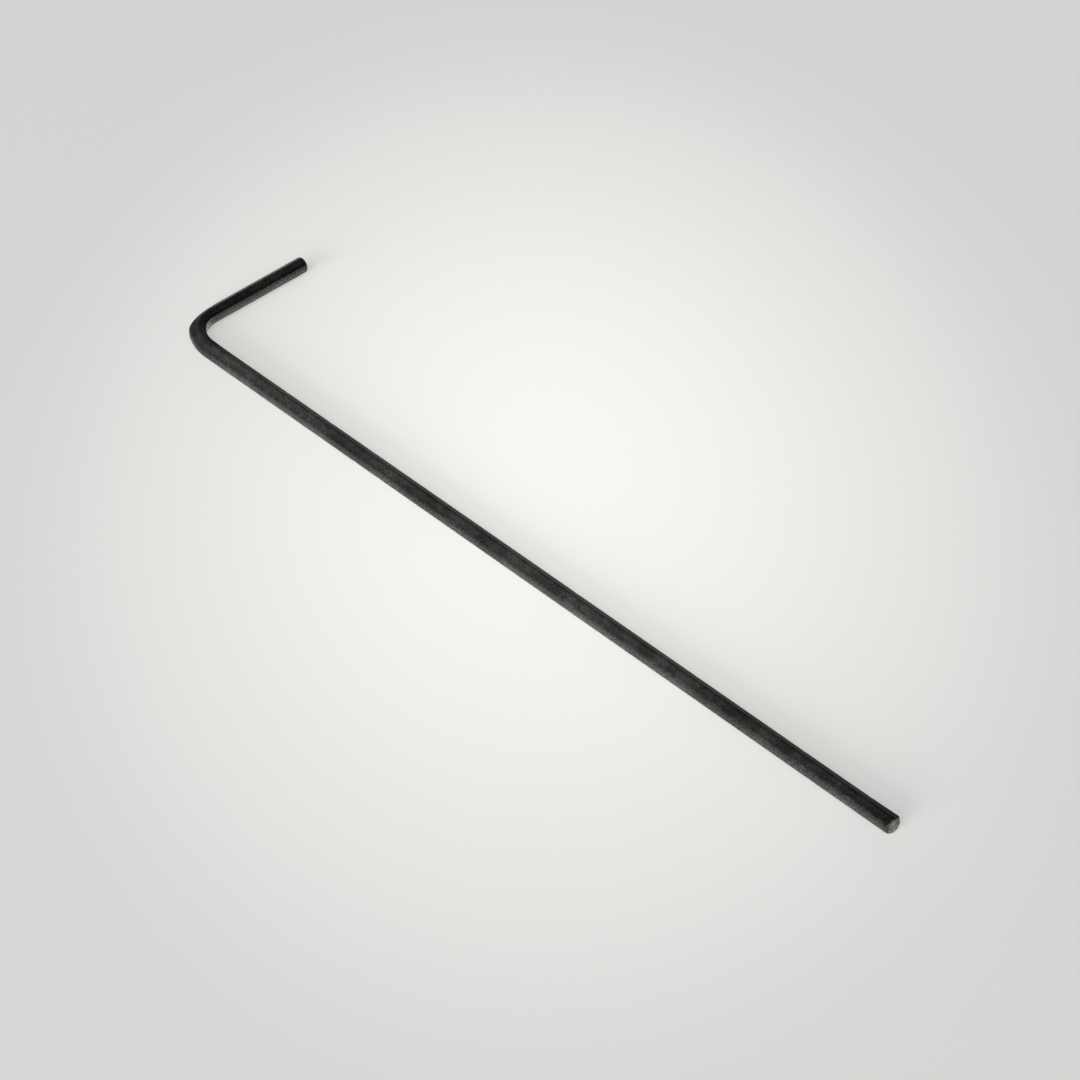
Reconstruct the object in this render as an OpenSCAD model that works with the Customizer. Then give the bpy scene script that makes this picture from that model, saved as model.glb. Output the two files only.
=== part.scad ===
// Long-arm hex key: one hexagonal steel bar with a single bend and a bevel on both tips.
// It lies flat. +X runs along the long arm, +Y along the short arm and +Z up.
// The origin is under the middle of the key's box, on the surface that it lies on.

/* [Bar] */
// Hexagon size, from one flat to the opposite flat
across_flats = 1.5; // [1.3:0.05:3]
// Radius that rounds the six long edges of the drawn bar
edge_radius = 0.2; // [0.05:0.01:0.35]

/* [Arms] */
// Long arm, from its tip to the outer flat of the short arm
long_arm = 91.5; // [60:0.5:130]
// Short arm, from its tip to the outer flat of the long arm
short_arm = 15.5; // [12:0.5:30]

/* [Bend] */
// Bend radius at the middle of the bar
bend_radius = 3.45; // [2.5:0.05:6]

/* [Tips] */
// How far the bevel cuts in from the flats, measured on the end face
tip_bevel = 0.13; // [0.05:0.01:0.4]
// Slope of the bevel, measured from the end face
tip_bevel_angle = 45; // [30:1:60]

/* [Hidden] */
black_oxide = [0.16, 0.16, 0.155];
$fn = 96;
sides = 6;
turn = 360 / sides;
edge_steps = 4;

// The hexagon: its flats face the inside and the outside of the bend, its corners up and down
half_flats = across_flats / 2;
corner_reach = half_flats / cos(turn / 2);
edge_centre = corner_reach - edge_radius / cos(turn / 2);
rounded_reach = edge_centre + edge_radius;

// The bar's middle line: two straight runs that meet the arc at its two ends
long_middle = long_arm - half_flats;
short_middle = short_arm - half_flats;
long_straight = long_middle - bend_radius;
short_straight = short_middle - bend_radius;

// The bevel's cone: its flat disc on the end face, and its width where it leaves the bar
tip_disc = half_flats - tip_bevel;
bevel_run = corner_reach - tip_disc;
bevel_depth = bevel_run * tan(tip_bevel_angle);

// Where the crossing of the two middle lines lies, from the middle of the key's box
crossing_x = half_flats - long_arm / 2;
crossing_y = half_flats - short_arm / 2;

// Section of the bar, with two corners on its Y axis: an arc of points round each edge,
// which starts and ends where the arc touches the flats
module bar_section() {
    polygon([
        for (i = [0 : sides - 1], j = [0 : edge_steps])
            let (corner = 90 + i * turn, across = corner + (j / edge_steps - 0.5) * turn)
            [
                edge_centre * cos(corner) + edge_radius * cos(across),
                edge_centre * sin(corner) + edge_radius * sin(across)
            ]
    ]);
}

// A straight run of bar up Z from the origin, with its bevelled tip at the top
module arm(length) {
    intersection() {
        linear_extrude(length)
            bar_section();
        union() {
            translate([0, 0, length - bevel_depth])
                cylinder(h = bevel_depth, r1 = corner_reach, r2 = tip_disc);
            cylinder(h = length - bevel_depth, r = corner_reach);
        }
    }
}

// The quarter turn between the arms, about the middle of the bend
module bend() {
    rotate_extrude(angle = 90)
        translate([bend_radius, 0])
            bar_section();
}

// The whole key, with the crossing of its two middle lines at the origin
module bent_bar() {
    translate([bend_radius, 0, 0])
        rotate([90, 0, 90])
            arm(long_straight);
    translate([0, bend_radius, 0])
        rotate([-90, 0, 0])
            arm(short_straight);
    translate([bend_radius, bend_radius, 0])
        rotate(180)
            bend();
}

module hex_key() {
    color(black_oxide)
        translate([crossing_x, crossing_y, rounded_reach])
            bent_bar();
}

hex_key();
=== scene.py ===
import math

import bpy
import numpy as np
from mathutils import Matrix, Vector


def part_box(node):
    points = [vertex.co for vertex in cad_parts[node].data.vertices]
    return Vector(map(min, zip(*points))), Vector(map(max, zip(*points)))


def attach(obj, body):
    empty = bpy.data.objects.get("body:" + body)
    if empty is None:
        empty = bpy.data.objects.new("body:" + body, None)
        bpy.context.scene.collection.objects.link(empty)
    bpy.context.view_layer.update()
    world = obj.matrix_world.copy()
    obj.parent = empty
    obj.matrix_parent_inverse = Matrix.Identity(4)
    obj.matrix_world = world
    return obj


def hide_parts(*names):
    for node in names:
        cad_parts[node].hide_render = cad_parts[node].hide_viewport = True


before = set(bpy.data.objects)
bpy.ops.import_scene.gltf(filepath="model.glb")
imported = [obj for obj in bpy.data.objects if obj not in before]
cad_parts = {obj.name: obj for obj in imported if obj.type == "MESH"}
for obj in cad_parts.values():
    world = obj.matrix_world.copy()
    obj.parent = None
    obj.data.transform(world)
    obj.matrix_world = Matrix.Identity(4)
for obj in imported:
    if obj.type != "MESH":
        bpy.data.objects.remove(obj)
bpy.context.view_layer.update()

# A black hex key lying on a pale table. Lengths are in metres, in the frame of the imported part:
# X along the long arm, Y along the short arm, Z up from the table.
mm = 0.001
scene = bpy.context.scene
scene.view_settings.view_transform = "Standard"
scene.view_settings.look = "None"


# Camera: the table point in the middle of the picture, and where the camera stands from it
cameraSpot = {
    "aim": (-0.000446, -0.002836, 0.0),
    "distance": 0.33413,
    "azimuth": 48.008,
    "elevation": 41.228,
    "roll": -1.681,
    "lens": 126.667,
    "sensor": 36.0,
}


def cameraAxes(azimuth, elevation, roll):
    # Back runs from the aim to the camera. Right and up are level, and then turned by the roll.
    turn, lift, tilt = np.radians([azimuth, elevation, roll])
    back = Vector((math.sin(turn) * math.cos(lift), -math.cos(turn) * math.cos(lift), math.sin(lift)))
    levelRight = Vector((math.cos(turn), math.sin(turn), 0.0))
    right = levelRight * math.cos(tilt) + back.cross(levelRight) * math.sin(tilt)
    return right, back.cross(right), back


def placeCamera(spot):
    right, up, back = cameraAxes(spot["azimuth"], spot["elevation"], spot["roll"])
    lens = bpy.data.cameras.new("photoCamera")
    lens.lens = spot["lens"]
    lens.sensor_width = spot["sensor"]
    lens.clip_start = 0.01
    lens.clip_end = 10.0
    camera = bpy.data.objects.new("photoCamera", lens)
    place = Matrix.Translation(Vector(spot["aim"]) + back * spot["distance"])
    camera.matrix_world = place @ Matrix((right, up, back)).transposed().to_4x4()
    scene.collection.objects.link(camera)
    scene.camera = camera


placeCamera(cameraSpot)
print("camera placed")


# Short ways to write a node tree
def addNode(tree, kind, place, **settings):
    node = tree.nodes.new(kind)
    node.location = place
    for name, value in settings.items():
        setattr(node, name, value)
    return node


def feed(tree, node, values):
    # Each value is a socket to link, or a number or colour to set on the input of that name or place
    for key, value in values.items():
        if isinstance(value, bpy.types.NodeSocket):
            tree.links.new(value, node.inputs[key])
        else:
            node.inputs[key].default_value = value
    return node


def addMath(tree, place, operation, *values):
    node = addNode(tree, "ShaderNodeMath", place, operation=operation)
    return feed(tree, node, dict(enumerate(values))).outputs[0]


def addMix(tree, place, share, first, second, blend="MIX"):
    node = addNode(tree, "ShaderNodeMix", place, data_type="RGBA", blend_type=blend)
    return feed(tree, node, {0: share, 6: first, 7: second}).outputs[2]


def addRange(tree, place, value, fromLow, fromHigh, toLow, toHigh):
    # A smooth step from one range to another
    node = addNode(tree, "ShaderNodeMapRange", place, interpolation_type="SMOOTHSTEP")
    return feed(tree, node, {0: value, 1: fromLow, 2: fromHigh, 3: toLow, 4: toHigh}).outputs[0]


def addNoise(tree, place, vector, scale, detail=2.0, roughness=0.5):
    node = addNode(tree, "ShaderNodeTexNoise", place)
    settings = {"Vector": vector, "Scale": scale, "Detail": detail, "Roughness": roughness}
    return feed(tree, node, settings).outputs[0]


def addRamp(tree, place, value, stops):
    # Each stop is (place from 0 to 1, colour)
    node = feed(tree, addNode(tree, "ShaderNodeValToRGB", place), {0: value})
    elements = node.color_ramp.elements
    while len(elements) < len(stops):
        elements.new(0.5)
    for element, (position, color) in zip(elements, stops):
        element.position = position
        element.color = color
    return node.outputs[0]


def addBump(tree, place, depth, height, under=None):
    # Depth is in metres, for a height of 1. Under is the normal of the bump that this one lies on.
    node = addNode(tree, "ShaderNodeBump", place)
    feed(tree, node, {"Strength": 1.0, "Distance": depth, "Height": height})
    if under is not None:
        feed(tree, node, {"Normal": under})
    return node.outputs[0]


def startGroup(name, inputs, outputs):
    # Inputs are {name: (kind of socket, start value)}, outputs {name: kind of socket}
    group = bpy.data.node_groups.new(name, "ShaderNodeTree")
    for label, (kind, start) in inputs.items():
        socket = group.interface.new_socket(label, in_out="INPUT", socket_type=kind)
        if start is not None:
            socket.default_value = start
    for label, kind in outputs.items():
        group.interface.new_socket(label, in_out="OUTPUT", socket_type=kind)
    entry = addNode(group, "NodeGroupInput", (-800, 0)).outputs
    return group, entry, addNode(group, "NodeGroupOutput", (600, 0))


def useGroup(tree, group, place, values):
    return feed(tree, addNode(tree, "ShaderNodeGroup", place, node_tree=group), values).outputs


floatKind = "NodeSocketFloat"
vectorKind = "NodeSocketVector"


def mottleGroup():
    # Cloudy patches: a coarse and a fine noise, added by a share and cut to a mask from 0 to 1
    group, entry, leave = startGroup(
        "mottle",
        {
            "Vector": (vectorKind, None),
            "Coarse": (floatKind, 0.6),
            "Fine": (floatKind, 3.0),
            "Fine Share": (floatKind, 0.35),
            "Low": (floatKind, 0.35),
            "High": (floatKind, 0.65),
        },
        {"Mask": floatKind},
    )
    coarse = addNoise(group, (-500, 150), entry["Vector"], entry["Coarse"], 3.0, 0.55)
    fine = addNoise(group, (-500, -150), entry["Vector"], entry["Fine"], 3.0, 0.6)
    swaying = addMath(group, (-400, -150), "SUBTRACT", fine, 0.5)
    fineness = addMath(group, (-300, -150), "MULTIPLY", swaying, entry["Fine Share"])
    mixed = addMath(group, (-100, 0), "ADD", coarse, fineness)
    cut = addRange(group, (200, 0), mixed, entry["Low"], entry["High"], 0.0, 1.0)
    group.links.new(cut, leave.inputs["Mask"])
    return group


def edgeWearGroup():
    # Worn edges: a mask that grows with the closeness to an edge and is broken up by noise
    group, entry, leave = startGroup(
        "edgeWear",
        {
            "Vector": (vectorKind, None),
            "Closeness": (floatKind, 0.0),
            "Breakup Scale": (floatKind, 2.0),
            "Breakup": (floatKind, 0.8),
            "Start": (floatKind, 0.6),
            "Full": (floatKind, 1.1),
        },
        {"Mask": floatKind},
    )
    noise = addNoise(group, (-500, -150), entry["Vector"], entry["Breakup Scale"], 4.0, 0.65)
    swaying = addMath(group, (-350, -150), "SUBTRACT", noise, 0.5)
    broken = addMath(group, (-250, -150), "MULTIPLY", swaying, entry["Breakup"])
    reach = addMath(group, (-50, 0), "ADD", entry["Closeness"], broken)
    cut = addRange(group, (200, 0), reach, entry["Start"], entry["Full"], 0.0, 1.0)
    group.links.new(cut, leave.inputs["Mask"])
    return group


def toolMarkGroup():
    # Fine lines left by a tool: noise stretched along the first axis of the vector by Length over Pitch
    group, entry, leave = startGroup(
        "toolMarks",
        {"Vector": (vectorKind, None), "Pitch": (floatKind, 12.0), "Length": (floatKind, 0.25)},
        {"Height": floatKind},
    )
    scale = addNode(group, "ShaderNodeCombineXYZ", (-550, 0))
    feed(group, scale, {0: entry["Length"], 1: entry["Pitch"], 2: entry["Pitch"]})
    stretched = addNode(group, "ShaderNodeVectorMath", (-350, 0), operation="MULTIPLY")
    feed(group, stretched, {0: entry["Vector"], 1: scale.outputs[0]})
    lines = addNoise(group, (-150, 0), stretched.outputs[0], 1.0, 4.0, 0.6)
    group.links.new(lines, leave.inputs["Height"])
    return group


mottle = mottleGroup()
edgeWear = edgeWearGroup()
toolMarks = toolMarkGroup()


def newMaterial(name):
    material = bpy.data.materials.new(name)
    material.use_nodes = True
    tree = material.node_tree
    tree.nodes.clear()
    surface = addNode(tree, "ShaderNodeBsdfPrincipled", (900, 0))
    leave = addNode(tree, "ShaderNodeOutputMaterial", (1200, 0))
    tree.links.new(surface.outputs[0], leave.inputs[0])
    return material, tree, surface


def inMillimetres(tree, place, kind, output, **settings):
    # A coordinate of the surface in millimetres, so that a noise scale reads as patches per millimetre
    source = addNode(tree, kind, place, **settings)
    scaled = addNode(tree, "ShaderNodeVectorMath", (place[0] + 200, place[1]), operation="SCALE")
    return feed(tree, scaled, {0: source.outputs[output], "Scale": 1000.0}).outputs[0]


def readMask(tree, place, name):
    return addNode(tree, "ShaderNodeAttribute", place, attribute_name=name).outputs["Fac"]


# Black oxide over the drawn steel of the bar. Scales count per millimetre, and a pair of shares
# is for the sloping faces and for the two upright flats.
oxide = {
    "deep": (0.082, 0.082, 0.079, 1),
    "bloom": (0.227, 0.227, 0.215, 1),
    "patches": {"Coarse": 0.55, "Fine": 2.6, "Fine Share": 0.6, "Low": 0.36, "High": 0.66},
    "patchShares": (0.48, 0.08),
    "flecks": {"Coarse": 4.5, "Fine": 14.0, "Fine Share": 0.5, "Low": 0.3, "High": 0.75},
    "fleckShares": (0.50, 0.90),
    "tintScale": 0.9,
    "tints": (
        (0.30, (1.07, 1.01, 0.91, 1)),
        (0.45, (1.0, 1.0, 1.0, 1)),
        (0.57, (1.03, 0.96, 1.10, 1)),
        (0.70, (0.91, 1.05, 0.95, 1)),
    ),
    "zoneScale": 0.13,
    "zoneRange": (0.34, 0.66),
    "zones": (0.78, 1.20),
    "scuffTurn": 40.0,
    "scuffLines": {"Pitch": 2.4, "Length": 0.45},
    "scuffRange": (0.50, 0.66),
    "scuffs": 0.30,
    "edges": {"Breakup Scale": 2.2, "Breakup": 1.3, "Start": 0.75, "Full": 1.35},
    "wornSteel": (0.20, 0.196, 0.188, 1),
    "wear": 0.12,
    "metal": 1.0,
    "grazing": (0.6, 0.6, 0.6, 1),
    "shineRange": (0.1, 0.9),
    "roughness": (0.24, 0.36),
    "drawnLines": {"Pitch": 14.0, "Length": 0.35},
    "lineDepth": 0.004 * mm,
    "grainScale": 16.0,
    "grainDepth": 0.006 * mm,
}


def oxideMaterial(look):
    material, tree, surface = newMaterial("blackOxide")
    body = inMillimetres(tree, (-1500, 300), "ShaderNodeTexCoord", "Object")
    layout = inMillimetres(tree, (-1500, -500), "ShaderNodeUVMap", 0, uv_map="barLayout")
    patches = useGroup(tree, mottle, (-1000, 500), {"Vector": body, **look["patches"]})[0]
    flecks = useGroup(tree, mottle, (-1000, 250), {"Vector": body, **look["flecks"]})[0]
    lines = useGroup(tree, toolMarks, (-1000, -500), {"Vector": layout, **look["drawnLines"]})[0]

    # Blackening: 0.5 + patch share x (patches - 0.5) + fleck share x (flecks - 0.5), from deep to bloom
    upright = readMask(tree, (-1300, 700), "upright")
    patchShare = addRange(tree, (-1100, 800), upright, 0.0, 1.0, *look["patchShares"])
    fleckShare = addRange(tree, (-1100, 650), upright, 0.0, 1.0, *look["fleckShares"])
    patchSway = addMath(tree, (-900, 550), "SUBTRACT", patches, 0.5)
    fleckSway = addMath(tree, (-900, 400), "SUBTRACT", flecks, 0.5)
    cloudy = addMath(tree, (-800, 550), "MULTIPLY_ADD", patchSway, patchShare, 0.5)
    tone = addMath(tree, (-700, 400), "MULTIPLY_ADD", fleckSway, fleckShare, cloudy)
    base = addMix(tree, (-500, 400), tone, look["deep"], look["bloom"])
    tintNoise = addNoise(tree, (-950, 700), body, look["tintScale"], 2.0, 0.5)
    tints = addRamp(tree, (-750, 700), tintNoise, look["tints"])
    tinted = addMix(tree, (-300, 450), 1.0, base, tints, "MULTIPLY")

    # Steel shows through on the long edges
    edges = {"Vector": body, "Closeness": readMask(tree, (-1500, 0), "longEdge"), **look["edges"]}
    worn = useGroup(tree, edgeWear, (-1000, 0), edges)[0]
    wear = addMath(tree, (-500, 50), "MULTIPLY", worn, look["wear"])
    finish = addMix(tree, (-50, 300), wear, tinted, look["wornSteel"])

    # Shade: painted shade, highlights and tone of the face x (wide zones + scuffs that run aslant over
    # the scuffed place)
    zoneNoise = addNoise(tree, (-700, 900), body, look["zoneScale"], 1.0, 0.5)
    zones = addRange(tree, (-500, 900), zoneNoise, *look["zoneRange"], *look["zones"])
    turned = addNode(tree, "ShaderNodeMapping", (-1200, 1100), vector_type="POINT")
    feed(tree, turned, {"Vector": body, "Rotation": (0, 0, math.radians(look["scuffTurn"]))})
    aslant = {"Vector": turned.outputs[0], **look["scuffLines"]}
    streaks = useGroup(tree, toolMarks, (-950, 1100), aslant)[0]
    paler = addRange(tree, (-700, 1100), streaks, *look["scuffRange"], 0.0, look["scuffs"])
    scuffs = addMath(tree, (-500, 1100), "MULTIPLY", paler, readMask(tree, (-700, 1300), "scuffed"))
    uneven = addMath(tree, (-300, 900), "ADD", zones, scuffs)
    shade = addMath(tree, (-100, 700), "MULTIPLY", readMask(tree, (-300, 700), "paintedShadeAndTone"), uneven)
    feed(tree, surface, {"Base Color": addMix(tree, (150, 300), 1.0, finish, shade, "MULTIPLY")})

    # Roughness follows the drawn lines and the patches in equal parts
    patchPart = addMath(tree, (-600, -50), "MULTIPLY", patches, 0.5)
    parts = addMath(tree, (-450, -50), "MULTIPLY_ADD", lines, 0.5, patchPart)
    shine = addRange(tree, (-300, -50), parts, *look["shineRange"], *look["roughness"])
    feed(tree, surface, {"Roughness": shine, "Metallic": look["metal"]})
    feed(tree, surface, {"Specular Tint": look["grazing"]})
    grain = addNoise(tree, (-1000, -800), body, look["grainScale"], 5.0, 0.65)
    drawn = addBump(tree, (300, -500), look["lineDepth"], lines)
    feed(tree, surface, {"Normal": addBump(tree, (550, -500), look["grainDepth"], grain, drawn)})
    return material


# Bare cut steel on the two end faces and their bevels, gone dull, and darker towards the rims
cutFace = {
    "dull": (0.13, 0.125, 0.115, 1),
    "fresh": (0.32, 0.305, 0.275, 1),
    "patches": {"Coarse": 1.6, "Fine": 7.0, "Fine Share": 0.6, "Low": 0.35, "High": 0.68},
    "rim": (0.045, 0.045, 0.043, 1),
    "rimEdge": {"Breakup Scale": 6.0, "Breakup": 0.5, "Start": 0.45, "Full": 0.95},
    "metal": 1.0,
    "shineRange": (0.3, 0.7),
    "roughness": (0.40, 0.60),
    "cuts": {"Pitch": 16.0, "Length": 1.5},
    "cutDepth": 0.006 * mm,
}


def cutMaterial(look):
    material, tree, surface = newMaterial("cutSteel")
    body = inMillimetres(tree, (-1500, 300), "ShaderNodeTexCoord", "Object")
    patches = useGroup(tree, mottle, (-1000, 500), {"Vector": body, **look["patches"]})[0]
    cuts = useGroup(tree, toolMarks, (-1000, -300), {"Vector": body, **look["cuts"]})[0]
    rimEdge = {"Vector": body, "Closeness": readMask(tree, (-1500, 0), "rim"), **look["rimEdge"]}
    rim = useGroup(tree, edgeWear, (-1000, 0), rimEdge)[0]
    steel = addMix(tree, (-500, 400), patches, look["dull"], look["fresh"])
    feed(tree, surface, {"Base Color": addMix(tree, (-200, 300), rim, steel, look["rim"])})
    shine = addRange(tree, (-300, -50), cuts, *look["shineRange"], *look["roughness"])
    feed(tree, surface, {"Roughness": shine, "Metallic": look["metal"]})
    feed(tree, surface, {"Normal": addBump(tree, (500, -400), look["cutDepth"], cuts)})
    return material


print("materials made")


# The key itself: one hexagonal bar, carried along the middle line of both arms.
# Radii stand in the order bottom, outer lower, outer upper, top, inner upper, inner lower, in mm.
# A wave is (place in mm from the named end of the bend, reach in mm, height).
key = {
    "acrossFlats": 1.5 * mm,
    "longRadii": (0.30, 0.16, 0.42, 0.30, 0.16, 0.20),
    "shortRadii": (0.30, 0.24, 0.42, 0.30, 0.40, 0.16),
    "radiiTurn": (-2.4 * mm, 0.6 * mm),  # where the radii change, from the bend's end
    "bendRadius": 3.45 * mm,
    "backInset": 0.05 * mm,
    "groundGap": 0.0005 * mm,
    "cornerSteps": 6,
    "flatSteps": 7,
    "flatHollow": 0.004 * mm,
    # Lengths of bar and the distance between stations there
    "bevelZone": (0.26 * mm, 0.018 * mm),
    "longTipZone": (2.4 * mm, 0.04 * mm),
    "shortTipZone": (0.8 * mm, 0.05 * mm),
    "bendZone": (1.0 * mm, 0.055 * mm),
    "armStep": 0.13 * mm,
    # Tips
    "faceRadius": 0.66 * mm,
    "bareTip": 0.16 * mm,
    "rimRound": 0.02 * mm,
    "tipSwell": 0.07 * mm,
    "tipSwellReach": 2.6 * mm,
    "turningPitch": 0.17 * mm,
    "turningDepth": 0.0012 * mm,
    "turningWobble": ((2, 1.0, 0.8), (5, 0.0, 0.5)),  # times around, start, height in radians
    "turningStart": 0.24 * mm,
    "turningFade": (0.9 * mm, 2.4 * mm),
    "faceRings": 12,
    "ringPower": 0.8,
    "faceHollow": 0.012 * mm,
    "hollowPower": 3.2,
    "cutWay": (0.3, 0.3, 0.9),
    "cutRipple": 0.0012 * mm,
    "cutPitch": 0.021 * mm,
    "cutWander": 1.5,
    "cutWanderPitch": 0.11 * mm,
    # Bend: heights are in mm, from the long arm's end
    "bendMargin": 0.9 * mm,
    "outerPress": ((1.1, 0.8, 0.09), (2.75, 0.75, -0.12), (4.8, 1.0, 0.16)),
    "innerSwell": ((0.6, 1.5, 0.06), (2.6, 2.0, 0.015)),
    "shortPress": 0.05 * mm,
    "innerSpread": 0.05,
    # Nicks on the long edges
    "nicks": 70,
    "nickDepth": (0.006 * mm, 0.02 * mm),
    "nickLength": (0.10 * mm, 0.40 * mm),
    "nickWidth": 0.10 * mm,
    "seed": 31,
    # Tone of the blackening and painted shade and highlights on the faces: heights are shares, from the
    # bend's end
    # Painted shade on the inner upper face, on the long arm and on the short arm
    "paintedInnerShade": (0.33, 0.55),
    # Painted sheen along the top edge of the long arm
    "paintedTopSheen": 1.04,
    "topReach": 16.0,
    "tipTone": 0.60,
    "tipFade": 24 * mm,
    "tipShade": 0.55,
    "tipShadeReach": 2.4 * mm,
    "bendShade": ((-1.6, 1.5, -0.52),),
    "crookGlow": ((-2.2, 0.95, 5.0), (1.6, 2.6, 0.30)),
    # Painted shade in waves along the inner upper face
    "paintedInnerShadeWaves": ((-4.9, 1.8, 0.45), (-0.3, 1.3, -0.22)),
    # Painted shade on the two upright flats: one tone for each height
    "shadeHeights": (-1.2, -0.6, 0.0, 0.6, 1.2),
    "shadeTones": (0.74, 1.03, 0.84, 0.52, 0.50),
    "scuffs": (5.0 * mm, 3.0 * mm),  # middle, before the bend, and reach
    "edgeReach": 0.30 * mm,
    # Where the masks of the faces begin and are full: cosines and sines of the angle around the
    # section, and shares of half the size across flats
    "slopeCosines": (0.70, 0.96),
    "innerCosines": (0.68, 0.90),
    "upwardSines": (0.05, 0.40),
    "uprightTone": (0.80, 0.95),
    "uprightPattern": (0.65, 0.85),
    "rimShares": (0.55, 0.5, 0.35, 0.45),  # bevel at the tip, its rise, face at the rim, its rise
}


def ramp(values, start, end):
    # 0 up to the start and 1 from the end on, with a straight line between them
    return np.clip((values - start) / (end - start), 0, 1)


def facing(angles, degrees, spec):
    # Mask of the sloping face that looks that way: a ramp on the cosine of the angle between them
    return ramp(np.cos(angles - math.radians(degrees)), *spec["slopeCosines"])


def cornersOf(spec, radii):
    # Angle, radius and reach of the centre of each corner: (half across flats - radius) / cos 30
    corner = np.radians(-90 + 60 * np.arange(6))
    radius = np.array(radii) * mm
    return corner, radius, (spec["acrossFlats"] / 2 - radius) / math.cos(math.pi / 6)


def hexagonProfile(spec, radii):
    # Rounded hexagon: an arc about each corner's centre, then straight steps to the next arc.
    # The first coordinate points out of the bend and the second up. Flats face in and out of the bend.
    corner, radius, reach = [values[:, None] for values in cornersOf(spec, radii)]
    across = corner + np.linspace(-math.pi / 6, math.pi / 6, spec["cornerSteps"])
    outwards = reach * np.cos(corner) + radius * np.cos(across)
    upwards = reach * np.sin(corner) + radius * np.sin(across)
    arcs = np.stack([outwards, upwards], -1)
    share = (np.arange(1, spec["flatSteps"]) / spec["flatSteps"])[None, :, None]
    flats = arcs[:, -1:] * (1 - share) + np.roll(arcs, -1, 0)[:, :1] * share
    flatNormal = np.broadcast_to(corner + math.pi / 6, flats.shape[:2])
    middle = np.broadcast_to(np.sin(math.pi * share[..., 0]) ** 2, flats.shape[:2])
    points = np.concatenate([arcs, flats], 1).reshape(-1, 2)
    angles = np.concatenate([across, flatNormal], 1).ravel()
    hollow = np.concatenate([np.zeros(arcs.shape[:2]), middle], 1).ravel()
    return points, angles, hollow


def stationsAlong(spans):
    # Distances along the bar: each (start, end, step) span is cut into equal steps of about that length
    cuts = [np.linspace(a, b, round((b - a) / step) + 1)[:-1] for a, b, step in spans]
    return np.append(np.concatenate(cuts), spans[-1][1])


def middleLine(distance, spec, low, high):
    # Straight, quarter turn, straight: the turn so far swings both the place and the outward direction
    half = spec["acrossFlats"] / 2
    radius = spec["bendRadius"]
    arcCentre = np.array([low.x + spec["backInset"] + half + radius, low.y + half + radius])
    longRun = high.x - arcCentre[0]
    turned = np.clip((distance - longRun) / radius, 0, math.pi / 2)
    outward = np.stack([-np.sin(turned), -np.cos(turned)], -1)
    before = np.maximum(longRun - distance, 0)
    after = np.maximum(distance - longRun - radius * math.pi / 2, 0)
    return arcCentre + radius * outward + np.stack([before, after], -1), outward


def hump(distance, middle, reach):
    # A smooth rise and fall: e to the power of minus ((distance - middle) / reach) squared
    return np.exp(-(((distance - middle) / reach) ** 2))


def waves(along, humps):
    # The sum of smooth humps, each given as (middle in mm, reach in mm, height)
    return sum(height * hump(along, middle * mm, reach * mm) for middle, reach, height in humps)


def paintedShadeAndTone(points, angles, distance, swing, bendEnd, spec):
    # Painted shade and highlights, as a product of shares: painted shade on the inner upper face, more
    # so on the long arm, a painted sheen that makes the top edge a little paler there, painted shade on
    # the two upright flats with a tone for each height, the sloping faces darker towards the long tip,
    # and waves along the bar that paint shade on the bend and a painted highlight on the inner flat
    # where it runs into the short arm.
    half = spec["acrossFlats"] / 2
    upright = ramp(np.abs(points[:, 0]) / half, *spec["uprightTone"])
    height = points[:, 1] / (half * math.tan(math.pi / 6))
    # Painted shade on the upright flats, darkest towards the top
    heightShade = np.interp(height, spec["shadeHeights"], spec["shadeTones"])
    # Painted shade on the inner upper face, deeper on the long arm
    longInnerShade, shortInnerShade = spec["paintedInnerShade"]
    innerShade = facing(angles, 120, spec) * (longInnerShade - 1 + (shortInnerShade - longInnerShade) * swing)
    # Painted sheen: the top edge a little paler on the long arm
    topEdge = hump(angles, math.pi / 2, math.radians(spec["topReach"]))
    top = (spec["paintedTopSheen"] - 1) * (1 - swing) * topEdge
    tone = (1 + upright * (heightShade - 1)) * (1 + innerShade) * (1 + top)
    # Painted shade on the bend, a painted highlight on the inner flat and painted shade in waves on the
    # inner upper face
    masks = {
        "bendShade": facing(angles, 60, spec),
        "crookGlow": ramp(-np.cos(angles), *spec["innerCosines"]),
        "paintedInnerShadeWaves": facing(angles, 120, spec),
    }
    for name, mask in masks.items():
        tone = tone * (1 + mask * waves(distance - bendEnd, spec[name])[:, None])
    tip = (spec["tipTone"] - 1) * hump(distance, 0, spec["tipFade"])[:, None]
    tipShade = (spec["tipShade"] - 1) * hump(distance, 0, spec["tipShadeReach"])[:, None]
    upward = ramp(np.sin(angles), *spec["upwardSines"])
    return tone * (1 + tip * (1 - upright)) * (1 + tipShade * upward)


def edgeTops(spec):
    # The outermost point of each rounded long edge
    corner, radius, reach = cornersOf(spec, spec["longRadii"])
    return (reach + radius)[:, None] * np.stack([np.cos(corner), np.sin(corner)], -1)


def nickRelief(points, distance, spec):
    # Depth = sum of nick depth x hump along the bar x hump about one long edge, placed by chance
    chance = np.random.default_rng(spec["seed"])
    count = spec["nicks"]
    place = chance.uniform(0, distance[-1], count)
    edge = chance.integers(0, 6, count)
    depth = chance.uniform(*spec["nickDepth"], count)
    length = chance.uniform(*spec["nickLength"], count)
    toEdge = np.linalg.norm(points[None] - edgeTops(spec)[edge][:, None], axis=-1)
    along = hump(distance[None], place[:, None], length[:, None])
    return np.einsum("i,ij,ik->jk", depth, along, hump(toEdge, 0, spec["nickWidth"]))


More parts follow.
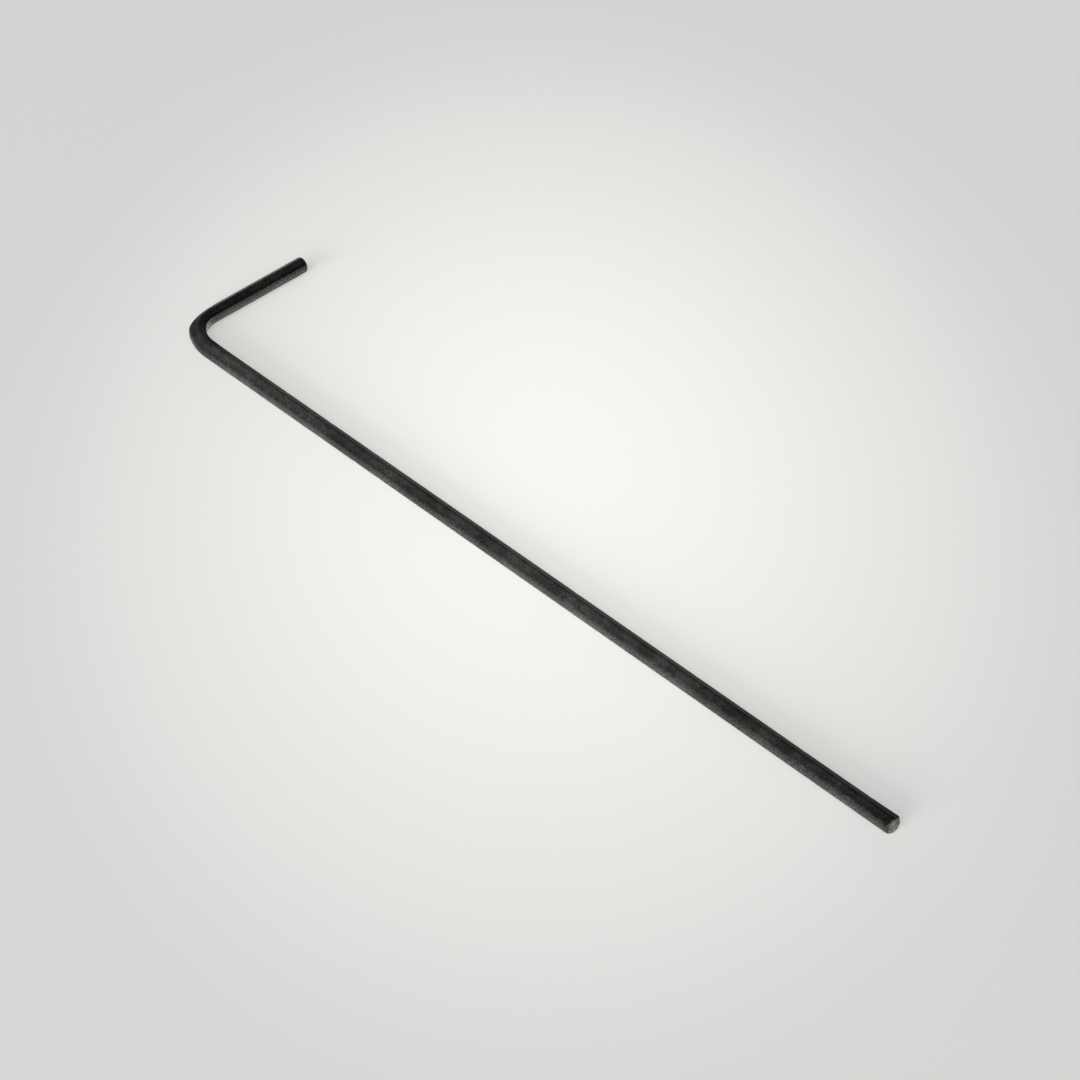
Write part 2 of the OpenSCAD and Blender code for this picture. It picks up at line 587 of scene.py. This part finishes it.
def turningRelief(points, distance, spec):
    # Depth = 1 - sine of the distance over the pitch, which wobbles around the bar, faded out behind
    # the long tip's bevel
    around = np.arctan2(points[:, 1], points[:, 0])
    wobble = 0
    for times, start, height in spec["turningWobble"]:
        wobble = wobble + height * np.sin(times * around + start)
    marks = 1 - np.sin(2 * math.pi * distance[:, None] / spec["turningPitch"] + wobble[None])
    near, far = spec["turningFade"]
    fade = ramp(distance, far, near) * (distance > spec["turningStart"])
    return spec["turningDepth"] * marks * fade[:, None]


def barSurface(spec, low, high):
    # Place = middle line + profile x outward + profile y x up, with the profile cut by a cone at each
    # tip, pressed outside the bend and swollen inside it, and sunk by the relief along its normals
    half = spec["acrossFlats"] / 2
    longRun = high.x - (low.x + spec["backInset"] + half + spec["bendRadius"])
    bendEnd = longRun + spec["bendRadius"] * math.pi / 2
    total = bendEnd + high.y - (low.y + half + spec["bendRadius"])
    bevel, bevelStep = spec["bevelZone"]
    longTip, longTipStep = spec["longTipZone"]
    shortTip, shortTipStep = spec["shortTipZone"]
    beside, bendStep = spec["bendZone"]
    distance = stationsAlong([
        (0, bevel, bevelStep),
        (bevel, longTip, longTipStep),
        (longTip, longRun - beside, spec["armStep"]),
        (longRun - beside, bendEnd + beside, bendStep),
        (bendEnd + beside, total - shortTip, spec["armStep"]),
        (total - shortTip, total - bevel, shortTipStep),
        (total - bevel, total, bevelStep),
    ])
    points, angles, hollow = hexagonProfile(spec, spec["longRadii"])
    shortPoints = hexagonProfile(spec, spec["shortRadii"])[0]
    normals = np.stack([np.cos(angles), np.sin(angles)], -1)
    fromTip = np.minimum(distance, total - distance)
    sunk = spec["flatHollow"] * hollow + nickRelief(points, distance, spec)
    sunk += turningRelief(points, distance, spec)

    # The section at each station: the long arm's radii turn into the short arm's round the bend
    turnStart, turnEnd = spec["radiiTurn"]
    swing = ramp(distance, bendEnd + turnStart, bendEnd + turnEnd)
    section = points + (shortPoints - points) * swing[:, None, None] - normals * sunk[..., None]
    margin = spec["bendMargin"]
    bent = np.sin(math.pi * ramp(distance, longRun - margin, bendEnd + margin)) ** 2
    side = points[:, 0] / half
    pressed = mm * waves(distance - longRun, spec["outerPress"]) + spec["shortPress"] * swing
    tipSwell = spec["tipSwell"] * hump(distance, 0, spec["tipSwellReach"])
    swollen = mm * waves(distance - longRun, spec["innerSwell"]) + tipSwell
    outerPart = pressed[:, None] * np.maximum(side, 0) ** 2
    innerPart = swollen[:, None] * np.maximum(-side, 0) ** 2
    section[..., 0] -= outerPart + innerPart
    section[..., 1] *= 1 - bent[:, None] * spec["innerSpread"] * side

    # The cone of the bevel is a soft upper limit on the section's radius
    radius = np.linalg.norm(section, axis=-1)
    cone = (spec["faceRadius"] + fromTip)[:, None]
    limited = (radius + cone - np.sqrt((radius - cone) ** 2 + spec["rimRound"] ** 2)) / 2
    section *= (limited / radius)[..., None]

    middle, outward = middleLine(distance, spec, low, high)
    bottom = np.linalg.norm(edgeTops(spec)[0])
    place = np.empty((len(distance), len(points), 3))
    place[..., :2] = middle[:, None] + outward[:, None] * section[..., :1]
    place[..., 2] = low.z + bottom + spec["groundGap"] + section[..., 1]
    fromEdge = np.linalg.norm(points[:, None] - edgeTops(spec), axis=-1).min(1)
    scuffMiddle, scuffReach = spec["scuffs"]
    masks = {
        "longEdge": ramp(fromEdge, spec["edgeReach"], 0),
        "scuffed": hump(distance, longRun - scuffMiddle, scuffReach)[:, None],
        "upright": ramp(np.abs(side), *spec["uprightPattern"]),
        "paintedShadeAndTone": paintedShadeAndTone(points, angles, distance, swing[:, None], bendEnd, spec),
    }
    masks = {name: np.broadcast_to(mask, place.shape[:2]) for name, mask in masks.items()}
    return place, distance, points, masks


def faceRings(rim, inward, spec):
    # The end face as rings that shrink to a pole: each ring is the rim scaled about its centre,
    # sunk by a shallow hollow and by the ripples of the cut, which run straight across the face
    centre = rim.mean(0)
    shares = (1 - np.arange(1, spec["faceRings"]) / spec["faceRings"])[:, None, None]
    rings = centre + (rim - centre) * shares ** spec["ringPower"]
    hollow = 1 - shares[..., 0] ** spec["hollowPower"]
    across = (rings - centre) @ np.array(spec["cutWay"])
    wander = spec["cutWander"] * np.sin(across / spec["cutWanderPitch"])
    ripples = spec["cutRipple"] * (1 + np.sin(across / spec["cutPitch"] + wander))
    sunk = spec["faceHollow"] * hollow + ripples
    return rings + sunk[..., None] * inward, centre + spec["faceHollow"] * inward


def gridFaces(rows, columns):
    # Quads between neighbouring rows, closed around the bar
    row, column = np.meshgrid(np.arange(rows - 1), np.arange(columns), indexing="ij")
    ahead = (column + 1) % columns
    here = row * columns
    above = here + columns
    return np.stack([here + column, here + ahead, above + ahead, above + column], -1).reshape(-1, 4)


def addMasks(mesh, masks, fromTip, points, spec):
    # One value at each point, in the order first face, bar, last face, poles. The faces have only the
    # rim mask: on the bevel it grows from the tip inwards, on the face from the pole to the upper rim.
    rings = spec["faceRings"] - 1
    bevelStart, bevelRise, faceStart, faceRise = spec["rimShares"]
    height = np.maximum(points[:, 1] / (spec["acrossFlats"] / 2), 0)
    outwards = (1 - np.arange(1, spec["faceRings"]) / spec["faceRings"])[:, None]
    onFace = outwards * (faceStart + faceRise * height)
    onBevel = np.clip(bevelStart + bevelRise * fromTip / spec["bareTip"], 0, 1)[:, None]
    none = np.zeros((rings, len(points)))
    layers = {name: (none, values) for name, values in masks.items()}
    layers["rim"] = (onFace, np.broadcast_to(onBevel, (len(fromTip), len(points))))
    for name, (ends, values) in layers.items():
        full = np.concatenate([ends[::-1].ravel(), values.ravel(), ends.ravel(), [0, 0]])
        mesh.attributes.new(name, "FLOAT", "POINT").data.foreach_set("value", full.astype(np.float32))


def addLayout(mesh, distance, points, spec):
    # The layout runs along the bar and around it, in metres. The fans about the poles stay at 0, 0.
    rings = spec["faceRings"] - 1
    columns = len(points)
    step = np.linalg.norm(np.roll(points, -1, 0) - points, axis=-1)
    around = np.concatenate([[0], np.cumsum(step)])
    along = np.concatenate([np.full(rings, distance[0]), distance, np.full(rings, distance[-1])])
    row, column = np.meshgrid(np.arange(len(along) - 1), np.arange(columns), indexing="ij")
    corners = [(row, column), (row, column + 1), (row + 1, column + 1), (row + 1, column)]
    quads = np.stack([np.stack([along[r], around[c]], -1) for r, c in corners], 2).reshape(-1, 2)
    layout = np.concatenate([quads, np.zeros((6 * columns, 2))])
    mesh.uv_layers.new(name="barLayout").data.foreach_set("uv", layout.astype(np.float32).ravel())


def makeKey(spec, low, high):
    # Rows of points from one pole over the face, the bar and the other face to the other pole
    place, distance, points, masks = barSurface(spec, low, high)
    longRings, longPole = faceRings(place[0], np.array([-1.0, 0, 0]), spec)
    shortRings, shortPole = faceRings(place[-1], np.array([0, -1.0, 0]), spec)
    rows = np.concatenate([longRings[::-1], place, shortRings])
    count, columns = rows.shape[:2]
    vertices = np.concatenate([rows.reshape(-1, 3), [longPole], [shortPole]])
    quads = gridFaces(count, columns)
    turn = np.arange(columns)
    ahead = (turn + 1) % columns
    pole = count * columns
    lastRow = pole - columns
    firstFan = np.stack([np.full(columns, pole), ahead, turn], -1)
    lastFan = np.stack([np.full(columns, pole + 1), lastRow + turn, lastRow + ahead], -1)
    mesh = bpy.data.meshes.new("hexKey")
    mesh.from_pydata(vertices.tolist(), [], quads.tolist() + firstFan.tolist() + lastFan.tolist())

    # Two materials: oxide on the bar, cut steel on the end faces and their bevels
    rings = spec["faceRings"] - 1
    fromTip = np.minimum(distance, distance[-1] - distance)
    bare = np.concatenate([np.ones(rings, bool), fromTip < spec["bareTip"], np.ones(rings, bool)])
    onFace = np.repeat(bare[:-1] & bare[1:], columns)
    slots = np.concatenate([onFace.astype(np.int32), np.ones(2 * columns, np.int32)])
    mesh.materials.append(oxideMaterial(oxide))
    mesh.materials.append(cutMaterial(cutFace))
    mesh.polygons.foreach_set("material_index", slots)
    mesh.polygons.foreach_set("use_smooth", np.ones(len(slots), bool))
    addMasks(mesh, masks, fromTip, points, spec)
    addLayout(mesh, distance, points, spec)
    mesh.update()
    mesh.validate()
    piece = bpy.data.objects.new("hexKey", mesh)
    scene.collection.objects.link(piece)
    return piece


hexKey = makeKey(key, *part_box("hex_key"))
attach(hexKey, "root")
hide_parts("hex_key")
print("key made:", len(hexKey.data.polygons), "faces")


# The light that the table's white gives back, as the irradiance that would light it so
tableLight = 3.754


# The table: a wide round sheet of pale plastic that glows softly, most of all in its middle.
# A painted pool of light: the middle tone falls off over an ellipse, and the tint turns from the
# middle's to the rim's.
table = {
    "radius": 4.0,
    "firstRing": 0.1,
    "rings": 8,
    "sectors": 64,
    "drop": 0.005 * mm,
    "white": 0.786,
    "glow": 0.53,
    "middleTint": (0.994, 1.0, 0.949, 1),
    "rimTint": (1.0, 1.0, 0.979, 1),
    "tintTurn": (0.48, 0.74),
    "fall": 0.3066,
    "fallPower": 1.48,
    "fallMiddle": (-6.97 * mm, 3.53 * mm, 0.0),
    "fallTurn": 48.7,
    "fallReach": (46.94 * mm, 71.16 * mm, 1.0),
    "fallSoftness": 0.25,
}


def makeTable(spec, low):
    # A flat disc: rings of points whose radius grows as the square of a share from the first to 1
    radius = spec["radius"] * np.linspace(spec["firstRing"], 1, spec["rings"]) ** 2
    turn = 2 * math.pi * np.arange(spec["sectors"]) / spec["sectors"]
    circle = np.stack([np.cos(turn), np.sin(turn), np.zeros(len(turn))], -1)
    rows = radius[:, None, None] * circle
    vertices = np.concatenate([rows.reshape(-1, 3), [[0, 0, 0]]]) + [0, 0, low.z - spec["drop"]]
    quads = gridFaces(len(radius), len(turn))[:, ::-1]
    column = np.arange(spec["sectors"])
    ahead = (column + 1) % spec["sectors"]
    fan = np.stack([np.full(spec["sectors"], len(vertices) - 1), column, ahead], -1)
    mesh = bpy.data.meshes.new("paleTable")
    mesh.from_pydata(vertices.tolist(), [], quads.tolist() + fan.tolist())
    mesh.materials.append(tableMaterial(spec))
    piece = bpy.data.objects.new("paleTable", mesh)
    scene.collection.objects.link(piece)


def tableMaterial(spec):
    # Pale plastic with a painted pool of light: tone = white x (1 - fall x (distance from the middle /
    # reach, up to 1) ^ power)
    material, tree, surface = newMaterial("palePlastic")
    source = addNode(tree, "ShaderNodeTexCoord", (-1300, 0)).outputs["Object"]
    turned = addNode(tree, "ShaderNodeMapping", (-1100, 0), vector_type="TEXTURE")
    turn = (0, 0, math.radians(spec["fallTurn"]))
    feed(tree, turned, {"Vector": source, "Location": spec["fallMiddle"], "Rotation": turn})
    feed(tree, turned, {"Scale": spec["fallReach"]})
    ring = addNode(tree, "ShaderNodeVectorMath", (-900, 0), operation="LENGTH")
    feed(tree, ring, {0: turned.outputs[0]})
    near = addMath(tree, (-700, 0), "SMOOTH_MIN", ring.outputs["Value"], 1.0, spec["fallSoftness"])
    rounded = addMath(tree, (-500, 0), "POWER", near, spec["fallPower"])
    white = spec["white"]
    tone = addMath(tree, (-300, 0), "MULTIPLY_ADD", rounded, -spec["fall"] * white, white)
    turnOver = addRange(tree, (-300, 250), rounded, *spec["tintTurn"], 0.0, 1.0)
    tint = addMix(tree, (0, 250), turnOver, spec["middleTint"], spec["rimTint"])
    pale = addMix(tree, (300, 100), 1.0, tint, tone, "MULTIPLY")
    feed(tree, surface, {"Base Color": pale, "Roughness": 0.9, "Specular IOR Level": 0.0})
    strength = spec["glow"] * tableLight / math.pi
    feed(tree, surface, {"Emission Color": pale, "Emission Strength": strength})
    return material


makeTable(table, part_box("hex_key")[0])
print("table made")


# Soft studio light: panels around the table. Share is the part of the table's light that a panel
# gives, azimuth is counted from +X towards +Y, and wide and high are the angles that it spans.
studio = {
    "distance": 2.5,
    "world": 0.11,
    "panels": {
        "keyPanel": {"share": 0.24, "azimuth": -54, "elevation": 43, "wide": 54, "high": 34},
        "lowPanel": {"share": 0.18, "azimuth": -79, "elevation": 14, "wide": 46, "high": 22},
        "topPanel": {"share": 0.0072, "azimuth": -159, "elevation": 44, "wide": 28, "high": 26},
        "sidePanel": {"share": 0.0024, "azimuth": -125, "elevation": 18, "wide": 30, "high": 34},
        "rearPanel": {"share": 0.0127, "azimuth": 131, "elevation": 27, "wide": 36, "high": 46},
        "backPanel": {"share": 0.008, "azimuth": 148, "elevation": 12, "wide": 24, "high": 12},
    },
}


def placePanels(spec):
    # Power = pi x share x light on the table x distance squared / sine of the elevation
    for name, panel in spec["panels"].items():
        turn, lift = np.radians([panel["azimuth"], panel["elevation"]])
        level = math.cos(lift)
        place = Vector((math.cos(turn) * level, math.sin(turn) * level, math.sin(lift)))
        light = bpy.data.lights.new(name, "AREA")
        light.shape = "RECTANGLE"
        light.size = 2 * spec["distance"] * math.tan(math.radians(panel["wide"] / 2))
        light.size_y = 2 * spec["distance"] * math.tan(math.radians(panel["high"] / 2))
        light.energy = math.pi * panel["share"] * tableLight * spec["distance"] ** 2 / math.sin(lift)
        piece = bpy.data.objects.new(name, light)
        piece.location = place * spec["distance"]
        piece.rotation_euler = place.to_track_quat("Z", "Y").to_euler()
        scene.collection.objects.link(piece)
    world = bpy.data.worlds.new("studio")
    world.use_nodes = True
    background = world.node_tree.nodes["Background"].inputs
    background["Color"].default_value = (1, 1, 1, 1)
    background["Strength"].default_value = spec["world"] * tableLight / math.pi
    scene.world = world


placePanels(studio)
print("lights placed")
